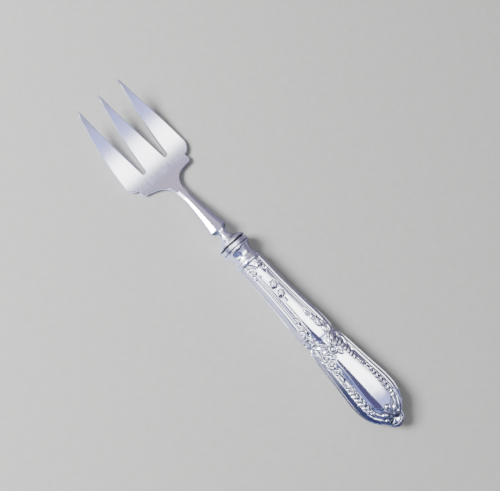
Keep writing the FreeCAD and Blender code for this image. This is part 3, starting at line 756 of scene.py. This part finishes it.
def head_side(lift):
    """One side of the head's outline, with its ear moved towards the tips by lift."""
    half_way = (SLOT_PLACE + TIP_PLACE) / 2
    near, far, mouth = SLOT_OFFSET - SLOT_HALF, SLOT_OFFSET + SLOT_HALF, SLOT_PLACE + SLOT_HALF
    outer, inner = SIDE_TIP + TIP_HALF, SIDE_TIP - TIP_HALF
    ear_foot, ear, notch = (12.0, 156.5 + lift), (14.75, 158.9 + lift), (14.35, 160.7 + lift)
    step = (15.1, 160.85 + lift)
    return [
        *arc_through((2.3, 148.0), (3.83, 153.06), (7.4, 155.9)),
        (7.4, 155.9),
        *arc_through(ear_foot, (14.25, 157.35 + lift), ear),
        ear,
        notch,
        *arc_through(step, (17.65, 163.0 + lift / 2), SHOULDER),
        *arc_through(SHOULDER, ((SHOULDER[0] + outer) / 2 + 1.05, half_way), (outer, TIP_PLACE), 30),
        (outer, TIP_PLACE),
        *arc_through((inner, TIP_PLACE), ((inner + far) / 2 - 0.2, half_way), (far, mouth), 30),
        *arc_through((far, mouth), (SLOT_OFFSET, SLOT_PLACE), (near, mouth)),
        *arc_through((near, mouth), ((near + TIP_HALF) / 2 + 0.5, half_way), (TIP_HALF, TIP_PLACE), 30),
        (TIP_HALF, TIP_PLACE),
    ]


outline = np.array(head_side(0.0) + [(-x, y) for x, y in reversed(head_side(LEFT_EAR_LIFT))])
print(f"outline of the head: {len(outline)} points")

# %% [markdown]
# The outline is repeated as rings that step inwards near both faces, and the rings are joined, so the
# filed edge is round. Then the plate is sliced every 0.8 mm, because only points can bend, and each
# point is lifted to the height of the crown's dip or the tines' curve.

# %% Filling, slicing and bending the head
EDGE_SOFTNESS = 0.4
SLICE = 0.8
CROWN_PLACE = 160.0
RAMP_PLACE = 153.6
NECK_PLACE = 148.0
TOP_HEIGHTS = (-2.05, -3.75, -4.7, 8.6)
UNDER_HEIGHTS = (-4.45, -5.95, -6.7, 8.0)


def inset(loop, amount):
    """The loop moved inwards by an amount, with its corners mitred."""
    before, after = np.roll(loop, 1, axis=0), np.roll(loop, -1, axis=0)

    def left_of(direction):
        direction = direction / np.maximum(np.linalg.norm(direction, axis=1, keepdims=True), 1e-9)
        return np.stack([-direction[:, 1], direction[:, 0]], axis=1)

    normal = left_of(loop - before) + left_of(after - loop)
    normal = normal / np.maximum(np.linalg.norm(normal, axis=1, keepdims=True), 1e-9)
    cosine = np.maximum(np.sum(normal * left_of(after - loop), axis=1, keepdims=True), 0.5)
    return loop + normal / cosine * amount


def face_height(place, neck, ramp, low, tip):
    """Height of one face of the head along its bend."""
    run, rise = TIP_PLACE - CROWN_PLACE, tip - low
    radius = (run * run + rise * rise) / (2 * rise)
    up = low + radius - np.sqrt(radius * radius - np.clip(place - CROWN_PLACE, 0, run) ** 2)
    down = low + (ramp - low) * np.clip((CROWN_PLACE - place) / (CROWN_PLACE - RAMP_PLACE), 0, 1) ** 2
    straight = neck + (ramp - neck) * (place - NECK_PLACE) / (RAMP_PLACE - NECK_PLACE)
    return np.where(place > CROWN_PLACE, up, np.where(place > RAMP_PLACE, down, straight))


def filled_plate(loop):
    """A flat plate between heights -1 and 1 with rounded edges."""
    plate = bmesh.new()
    turns = np.radians([0, 15, 32, 52])
    whole = 1 - math.cos(turns[-1])
    soft = EDGE_SOFTNESS / whole
    levels = [(soft * (1 - math.cos(t)), 1 - soft * (math.sin(turns[-1]) - math.sin(t))) for t in turns]
    levels = [(away, -level) for away, level in reversed(levels)] + levels
    rings = [[plate.verts.new((x, y, level)) for x, y in inset(loop, away)] for away, level in levels]
    count = len(loop)
    for lower, upper in zip(rings, rings[1:]):
        for at in range(count):
            after = (at + 1) % count
            plate.faces.new([lower[at], lower[after], upper[after], upper[at]])
    for ring, side in ((rings[0], -1), (rings[-1], 1)):
        for triangle in tessellate_polygon([[vertex.co for vertex in ring]]):
            face = plate.faces.new([ring[corner] for corner in triangle])
            face.normal_update()
            if face.normal.z * side < 0:
                face.normal_flip()
    return plate


def bent_plate(name, loop):
    """The plate sliced, bent and made into a piece."""
    plate = filled_plate(loop)
    for cut in np.arange(NECK_PLACE + SLICE / 2, TIP_PLACE - SLICE / 4, SLICE):
        parts = plate.verts[:] + plate.edges[:] + plate.faces[:]
        bmesh.ops.bisect_plane(plate, geom=parts, plane_co=(0, float(cut), 0), plane_no=(0, 1, 0), dist=1e-5)
    flat = np.array([vertex.co[:] for vertex in plate.verts])
    top, under = face_height(flat[:, 1], *TOP_HEIGHTS), face_height(flat[:, 1], *UNDER_HEIGHTS)
    from_middle = np.maximum((top - under) / 2 - (1 - np.abs(flat[:, 2])), 0)
    height = (top + under) / 2 + np.where(flat[:, 2] > 0, 1, -1) * from_middle
    for vertex, place in zip(plate.verts, in_frame(flat[:, 0], flat[:, 1], height)):
        vertex.co = place
    plate.verts.index_update()
    faces = [[vertex.index for vertex in face.verts] for face in plate.faces]
    points = np.array([vertex.co[:] for vertex in plate.verts])
    plate.free()
    return new_piece(name, points, faces, 30)


signed_area = np.sum(outline[:, 0] * np.roll(outline[:, 1], -1) - np.roll(outline[:, 0], -1) * outline[:, 1])
crown = bent_plate("crown_and_tines", outline if signed_area > 0 else outline[::-1])
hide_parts("fork_head")

# %% [markdown]
# ## Building with nodes
# A material is a small network, and the same few links come back in each. These helpers make a node
# and join it to what feeds it, so that a whole material can be read in a few lines.

# %% Helpers for nodes


def linked(tree, kind, inputs=None, **settings):
    """A node with its settings and inputs: a value is set, and an output of another node is linked."""
    node = tree.nodes.new(kind)
    for name, value in settings.items():
        setattr(node, name, value)
    for name, value in (inputs or {}).items():
        if isinstance(value, bpy.types.NodeSocket):
            tree.links.new(value, node.inputs[name])
        else:
            node.inputs[name].default_value = value
    return node


def noise(tree, vector, scale, detail):
    """The grey value of a noise texture."""
    given = {"Vector": vector, "Scale": scale, "Detail": detail}
    return linked(tree, "ShaderNodeTexNoise", given).outputs["Fac"]


def worked_out(tree, operation, *values):
    """The result of one piece of arithmetic."""
    return linked(tree, "ShaderNodeMath", dict(enumerate(values)), operation=operation).outputs[0]


def mapped(tree, value, low=0.0, high=1.0, to_low=0.0, to_high=1.0):
    """A value carried from one range to another and kept within it."""
    ends = {"Value": value, "From Min": low, "From Max": high, "To Min": to_low, "To Max": to_high}
    return linked(tree, "ShaderNodeMapRange", ends).outputs["Result"]


def blended(tree, factor, first, second):
    """A mix of two colours, each given as three numbers or as an output."""
    first, second = ((*colour, 1) if isinstance(colour, tuple) else colour for colour in (first, second))
    mix = linked(tree, "ShaderNodeMix", {"Factor": factor, "A": first, "B": second}, data_type="RGBA")
    return mix.outputs["Result"]


def toned(tree, value, dark, light):
    """A colour between a dark and a light one, read off a ramp."""
    ramp = linked(tree, "ShaderNodeValToRGB", {"Fac": value})
    ramp.color_ramp.elements[0].color = (*dark, 1)
    ramp.color_ramp.elements[1].color = (*light, 1)
    return ramp.outputs["Color"]


def new_material(name):
    """A material with its tree, its Principled shader and the place on the piece as a vector."""
    material = bpy.data.materials.new(name)
    material.use_nodes = True
    tree = material.node_tree
    return material, tree, tree.nodes["Principled BSDF"], linked(tree, "ShaderNodeTexCoord").outputs["Object"]


print("helpers:", linked.__name__, noise.__name__, worked_out.__name__, mapped.__name__, blended.__name__)

# %% [markdown]
# ## Marks of use and painted shade, shared by all the silver
# Shader node groups hold what the silver pieces share. The first gives hair-fine scratches, from noise
# that is stretched along one direction. The second gives the patina: the hollows of the carving, kept
# as a mask on the mesh, with a soft cloudiness of tarnish over everything. The same mask carries painted
# shade in the grooves of the turned pieces, below the stem's flare and round the palmette.

# %% Scratches, and patina with painted shade, as node groups


def new_group(name, inputs, outputs):
    """An empty node group with named inputs and outputs, and its two end nodes."""
    tree = bpy.data.node_groups.new(name, "ShaderNodeTree")
    for way, sockets in (("INPUT", inputs), ("OUTPUT", outputs)):
        for socket, kind in sockets.items():
            tree.interface.new_socket(name=socket, in_out=way, socket_type="NodeSocket" + kind)
    return tree, tree.nodes.new("NodeGroupInput").outputs, tree.nodes.new("NodeGroupOutput").inputs


def scratch_group():
    """Fine scratches: a height and a change of roughness, for a vector stretched by the material."""
    result_kinds = {"Height": "Float", "Roughness": "Float"}
    tree, given, result = new_group("fine_scratches", {"Vector": "Vector"}, result_kinds)
    fine = noise(tree, given["Vector"], 1.0, 4.0)
    broad = noise(tree, given["Vector"], 0.23, 2.0)
    tree.links.new(worked_out(tree, "ADD", fine, broad), result["Height"])
    tree.links.new(mapped(tree, fine, 0.42, 0.66), result["Roughness"])
    return tree


def patina_and_shade_group():
    """How dark the silver is: deep in hollows, and faint in broad clouds."""
    given_kinds = {"Vector": "Vector", "Hollow": "Float", "Clouds": "Float"}
    tree, given, result = new_group("patina_and_shade", given_kinds, {"Mask": "Float"})
    uneven = mapped(tree, noise(tree, given["Vector"], 900.0, 3.0), to_low=0.55, to_high=1.25)
    faint = mapped(tree, noise(tree, given["Vector"], 70.0, 3.0), 0.45, 0.8)
    in_hollow = worked_out(tree, "MULTIPLY", given["Hollow"], uneven)
    veil = worked_out(tree, "MULTIPLY", faint, given["Clouds"])
    both = linked(tree, "ShaderNodeMath", {0: in_hollow, 1: veil}, operation="MAXIMUM", use_clamp=True)
    tree.links.new(both.outputs[0], result["Mask"])
    return tree


SCRATCHES = scratch_group()
PATINA_AND_SHADE = patina_and_shade_group()
print("node groups:", SCRATCHES.name, "and", PATINA_AND_SHADE.name)

# %% [markdown]
# ## Three kinds of silver
# The stamped halves are polished but worn, with dark hollows. The ferrule shows the lathe's fine
# rings. The plated head is brushed along its length. All three come from one recipe, and so does the
# raw bar of the tang. They differ in how their scratches are stretched, in roughness, tarnish and
# colour. The roughness stays low, because a rougher silver would smear the dark mirror image of the
# room into the bright one.

# %% Silver materials
TARNISH_ROUGHNESS = 0.3


def silver(name, colour, dark, stretch, roughness, scratch, depth, hollow, clouds):
    """Silver with scratches stretched by three scales per metre, and patina with painted shade in its
    hollows.
    """
    material, tree, shader, place = new_material(name)
    scaled = linked(tree, "ShaderNodeMapping", {"Vector": place, "Scale": stretch}).outputs["Vector"]
    scratches = linked(tree, "ShaderNodeGroup", {"Vector": scaled}, node_tree=SCRATCHES).outputs
    kept = linked(tree, "ShaderNodeAttribute", attribute_name="hollow").outputs["Fac"]
    given = {"Vector": place, "Hollow": worked_out(tree, "MULTIPLY", kept, hollow), "Clouds": clouds}
    patina_and_shade = linked(tree, "ShaderNodeGroup", given, node_tree=PATINA_AND_SHADE).outputs["Mask"]
    worn = worked_out(tree, "MULTIPLY_ADD", scratches["Roughness"], scratch, roughness)
    dull = worked_out(tree, "MULTIPLY_ADD", patina_and_shade, TARNISH_ROUGHNESS, worn)
    bump = linked(tree, "ShaderNodeBump", {"Height": scratches["Height"], "Distance": depth * MM})
    # The mask of patina and painted shade darkens the colour
    tree.links.new(blended(tree, patina_and_shade, colour, dark), shader.inputs["Base Color"])
    tree.links.new(dull, shader.inputs["Roughness"])
    tree.links.new(bump.outputs["Normal"], shader.inputs["Normal"])
    shader.inputs["Metallic"].default_value = 1
    return material


polished = silver(
    "polished_silver", colour=(0.93, 0.94, 1.0), dark=(0.012, 0.016, 0.05), stretch=(2500, 500, 2500),
    roughness=0.06, scratch=0.04, depth=0.0012, hollow=1.0, clouds=0.10,
)
lathe_silver = silver(
    "lathe_turned_silver", colour=(0.92, 0.92, 0.97), dark=(0.008, 0.008, 0.015), stretch=(150, 5000, 150),
    roughness=0.10, scratch=0.06, depth=0.003, hollow=1.0, clouds=0.10,
)
brushed = silver(
    "brushed_plate", colour=(0.90, 0.90, 0.96), dark=(0.006, 0.006, 0.01), stretch=(5000, 160, 5000),
    roughness=0.13, scratch=0.08, depth=0.005, hollow=1.0, clouds=0.06,
)
raw_bar = silver(
    "raw_tang", colour=(0.62, 0.59, 0.53), dark=(0.2, 0.18, 0.16), stretch=(900, 900, 900),
    roughness=0.45, scratch=0.2, depth=0.03, hollow=0.0, clouds=0.8,
)
for finish, pieces in (
    (polished, (front_half, back_half)), (lathe_silver, (ferrule,)), (brushed, (crown, stem, bolster)),
    (raw_bar, (tang,)),
):
    for piece in pieces:
        piece.data.materials.append(finish)
print("silver:", polished.name, lathe_silver.name, brushed.name, raw_bar.name)

# %% [markdown]
# ## The cement in the handle
# A hollow handle is filled with cement, so that the thin sheet isn't dented and the tang holds. It
# can't be seen, but it is a real piece: pale, chalky and grainy, with small pores left by air.

# %% Handle cement
cement, tree, shader, place = new_material("handle_cement")
grains = noise(tree, place, 1800.0, 6.0)
pores = linked(tree, "ShaderNodeTexVoronoi", {"Vector": place, "Scale": 700.0}).outputs["Distance"]
rough_face = worked_out(tree, "ADD", grains, mapped(tree, pores, 0.0, 0.25))
grain_bump = linked(tree, "ShaderNodeBump", {"Height": rough_face, "Distance": 0.05 * MM, "Strength": 0.8})
tree.links.new(toned(tree, grains, (0.42, 0.38, 0.32), (0.72, 0.68, 0.60)), shader.inputs["Base Color"])
tree.links.new(grain_bump.outputs["Normal"], shader.inputs["Normal"])
shader.inputs["Roughness"].default_value = 0.95
filling = bpy.data.objects["handle_filling"]
filling.data.materials.clear()
filling.data.materials.append(cement)
print("filling wears", filling.data.materials[0].name)

# %% [markdown]
# ## The table
# The table is plain and pale, so that nothing competes with the silver, with a very faint mottling.
# The flanks of the handle mirror the table close beside them. A pale table would leave them flat, so
# what they mirror is given tones of its own: deep blue beside the butt on the left, light beside the
# barrel, and grey on the right. A Light Path node tells such mirrored rays from the camera's.

# %% Table
REACH = 2.0
BESIDE_BUTT, BESIDE_BARREL = -0.075, -0.045
MIRRORED_LEFT = ((0.008, 0.012, 0.07), (0.72, 0.73, 0.92))
MIRRORED_RIGHT = ((0.06, 0.055, 0.09), (0.17, 0.16, 0.22))
floor_mesh = bpy.data.meshes.new("table")
floor_corners = [(-REACH, -REACH, 0), (REACH, -REACH, 0), (REACH, REACH, 0), (-REACH, REACH, 0)]
floor_mesh.from_pydata(floor_corners, [], [(0, 1, 2, 3)])
table = placed("table", floor_mesh)
pale, tree, shader, place = new_material("pale_table")
mottled = toned(tree, noise(tree, place, 260.0, 5.0), (0.60, 0.58, 0.54), (0.70, 0.68, 0.64))
sides = linked(tree, "ShaderNodeSeparateXYZ", {"Vector": place}).outputs
to_barrel = mapped(tree, sides["Y"], BESIDE_BUTT, BESIDE_BARREL)
left, right_side = (blended(tree, to_barrel, *tones) for tones in (MIRRORED_LEFT, MIRRORED_RIGHT))
around = blended(tree, mapped(tree, sides["X"], -0.004, 0.004), left, right_side)
in_silver = linked(tree, "ShaderNodeLightPath").outputs["Is Glossy Ray"]
tree.links.new(blended(tree, in_silver, mottled, around), shader.inputs["Base Color"])
shader.inputs["Roughness"].default_value = 0.85
table.data.materials.append(pale)
print("table reaches", REACH, "m each way")

# %% [markdown]
# ## Light
# Silver shows little colour of its own: it shows the room. One large soft lamp at the upper left
# stands for a window. It throws the soft shadow on the table. All else that the silver mirrors comes
# from the world below.

# %% A soft lamp

# Degrees from +X towards +Y, degrees above the table, and metres from the fork
WINDOW_AZIMUTH, WINDOW_ELEVATION, WINDOW_DISTANCE = 137, 47, 0.9
lamp = bpy.data.lights.new("window_light", "AREA")
lamp.shape = "SQUARE"
lamp.size = 0.32
lamp.energy = 14
lamp.color = (0.93, 0.96, 1.0)
turn, lift = math.radians(WINDOW_AZIMUTH), math.radians(WINDOW_ELEVATION)
direction = Vector((math.cos(lift) * math.cos(turn), math.cos(lift) * math.sin(turn), math.sin(lift)))
window = placed("window_light", lamp)
window.location = direction * WINDOW_DISTANCE
window.rotation_euler = direction.to_track_quat("Z", "Y").to_euler()
print("lamp:", window.name)

# %% [markdown]
# ## The room in the silver
# The world has no picture. A photographer lights silver with white cards and black flags, and the
# nodes do the same: each card is a soft ellipse of one colour on the sky, as it is seen from below.
# One broad white card crosses the sky, with grey and blue ones round it, and a long dark one gives
# the panel its dark edge. Only mirrored rays see the cards, and the table is lit by an even grey.

# %% Cards on the sky


def card(tree, before, centre, reach, soft, colour):
    """Blends a colour into the sky inside a soft ellipse."""
    looking = linked(tree, "ShaderNodeTexCoord").outputs["Generated"]
    middle, shares = (*centre, 0), (1 / reach[0], 1 / reach[1], 0)
    aside = linked(tree, "ShaderNodeVectorMath", {0: looking, 1: middle}, operation="SUBTRACT").outputs[0]
    scaled = linked(tree, "ShaderNodeVectorMath", {0: aside, 1: shares}, operation="MULTIPLY").outputs[0]
    far = linked(tree, "ShaderNodeVectorMath", {0: scaled}, operation="LENGTH").outputs["Value"]
    edge = {"Value": far, "From Min": 1 + soft, "From Max": 1 - soft}
    amount = linked(tree, "ShaderNodeMapRange", edge, interpolation_type="SMOOTHSTEP").outputs[0]
    return blended(tree, amount, before, colour)


OPEN_SKY = (0.52, 0.54, 0.80)
EVEN_GREY = (0.30, 0.31, 0.33)
CARDS = [
    # Centre and reach towards +X and +Y, softness, colour: walls at the tines' end, the butt and the sides
    ((0.0, 0.95), (1.2, 0.66), 0.22, (0.66, 0.58, 0.74)),
    ((0.1, -1.05), (0.8, 0.22), 0.30, (0.07, 0.07, 0.12)),
    ((1.0, -0.1), (0.32, 1.2), 0.25, (0.24, 0.22, 0.34)),
    ((-1.0, 0.0), (0.22, 1.2), 0.30, (0.26, 0.28, 0.50)),
    # Two white cards, and the soft lilac end of the large one
    ((-0.45, 0.74), (0.42, 0.34), 0.20, (5.0, 5.0, 5.0)),
    ((-0.12, -0.105), (0.85, 0.22), 0.24, (6.0, 6.0, 6.0)),
    ((0.10, -0.36), (0.55, 0.17), 0.60, (0.74, 0.80, 1.55)),
    # Blue cards at the lower left, and the dark flags beside them
    ((-0.62, -0.53), (0.50, 0.42), 0.14, (0.20, 0.24, 0.52)),
    ((-0.42, -0.29), (0.18, 0.32), 0.14, (0.34, 0.40, 0.86)),
    ((-0.20, -0.27), (0.17, 0.33), 0.08, (0.11, 0.10, 0.23)),
    ((-0.47, 0.0), (0.10, 0.09), 0.10, (0.16, 0.19, 0.50)),
]
world = bpy.data.worlds.new("studio")
world.use_nodes = True
tree = world.node_tree
shade = OPEN_SKY
for one_card in CARDS:
    shade = card(tree, shade, *one_card)
in_silver = linked(tree, "ShaderNodeLightPath").outputs["Is Glossy Ray"]
tree.links.new(blended(tree, in_silver, EVEN_GREY, shade), tree.nodes["Background"].inputs["Color"])
tree.nodes["Background"].inputs["Strength"].default_value = 1.0
bpy.context.scene.world = world
print("cards in the world:", len(CARDS))

# %% [markdown]
# ## Camera
# The camera hangs over the fork and looks almost straight down, with the tines at the upper left.
# Its place and lens were fitted to the outline of the real fork.

# %% Camera
CAMERA_PLACE = Vector((-68.67, -27.87, 350.26)) * MM
LOOKS_AT = Vector((7.33, 4.49, 0.0)) * MM
UP_HINT = Vector((0.70014, 0.74564, 0.0))
camera_data = bpy.data.cameras.new("view")
camera_data.lens = 54.41
camera_data.sensor_width = 36.0
camera = placed("view", camera_data)
ahead = (LOOKS_AT - CAMERA_PLACE).normalized()
right = ahead.cross(UP_HINT).normalized()
above = right.cross(ahead)
camera.matrix_world = Matrix.Translation(CAMERA_PLACE) @ Matrix((right, above, -ahead)).transposed().to_4x4()
bpy.context.scene.camera = camera
print(f"camera {CAMERA_PLACE.z / MM:.0f} mm above the table")
